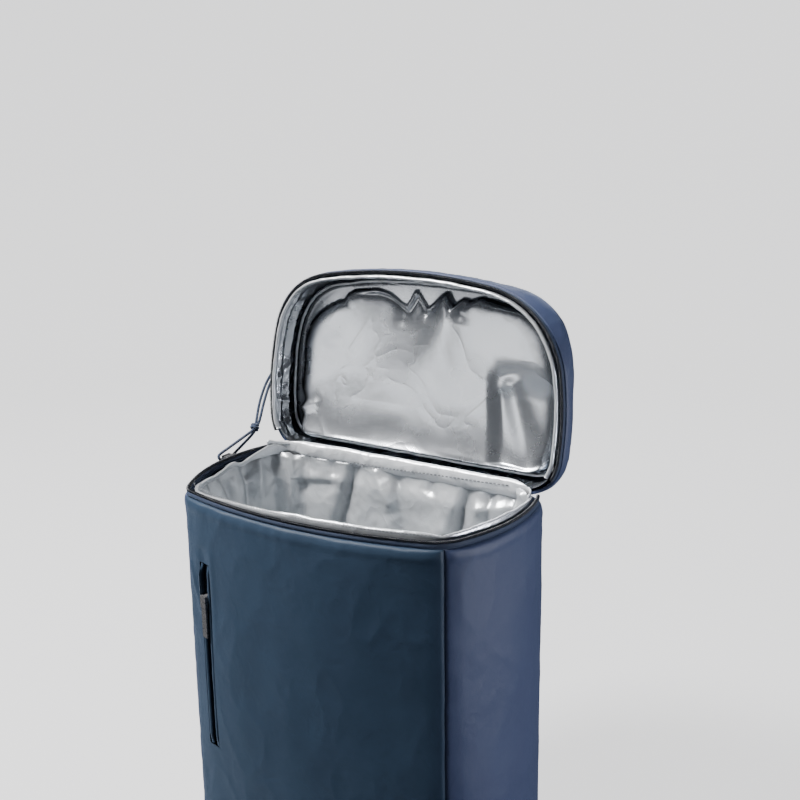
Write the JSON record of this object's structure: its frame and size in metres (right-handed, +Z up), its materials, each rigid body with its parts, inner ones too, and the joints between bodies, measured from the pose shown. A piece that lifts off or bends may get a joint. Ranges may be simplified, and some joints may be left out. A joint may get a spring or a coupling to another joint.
{
  "type": "cooler backpack",
  "caption": "Box-shaped insulated backpack standing open, with silver lining, zipped lid, front zip pocket and padded shoulder straps.",
  "frame": {"origin": "on the floor, in the middle of the base panel", "axes": "+Z up, -Y towards the front panel with the pocket, +X to the right as seen from the front"},
  "size_m": [0.3549, 0.259, 0.5895],
  "materials": {
    "cloth": "navy polyester with a satin sheen",
    "side_cloth": "navy polyester with a satin sheen",
    "silver_lining": "silver film, soft folds",
    "zip_tape": "dark navy woven tape",
    "zip_coil": "black nylon coil",
    "slider": "black enamel",
    "cord": "navy braided elastic",
    "webbing": "navy webbing",
    "buckle": "black plastic"
  },
  "bodies": {
    "root": {"front_panel": "cloth", "side_panel_left": "side_cloth", "side_panel_right": "side_cloth", "back_panel": "cloth", "base_panel": "cloth", "body_zip_tape": "zip_tape", "body_zip_coil": "zip_coil", "body_rim_roll": "silver_lining", "body_lining": "silver_lining", "lid_gusset": "side_cloth", "lid_top_panel": "cloth", "lid_zip_tape": "zip_tape", "lid_zip_coil": "zip_coil", "lid_rim_roll": "silver_lining", "lid_lining": "silver_lining", "lid_lining_welt": "silver_lining", "hinge_strip": "silver_lining", "zip_slider": "slider", "zip_cord_strand_front": "cord", "zip_cord_strand_back": "cord", "zip_cord_loop": "cord", "zip_cord_knot": "cord", "pocket_zip_tape": "zip_tape", "pocket_zip_coil": "zip_coil", "pocket_lip_left": "cloth", "pocket_lip_right": "cloth", "pocket_zip_slider": "slider", "pocket_zip_puller": "slider", "strap_yoke": "cloth", "shoulder_strap_left": "cloth", "shoulder_strap_right": "cloth", "strap_adjuster_left": "buckle", "strap_adjuster_right": "buckle", "strap_webbing_left": "webbing", "strap_webbing_right": "webbing", "strap_anchor_left": "cloth", "strap_anchor_right": "cloth"}
  },
  "joints": []
}
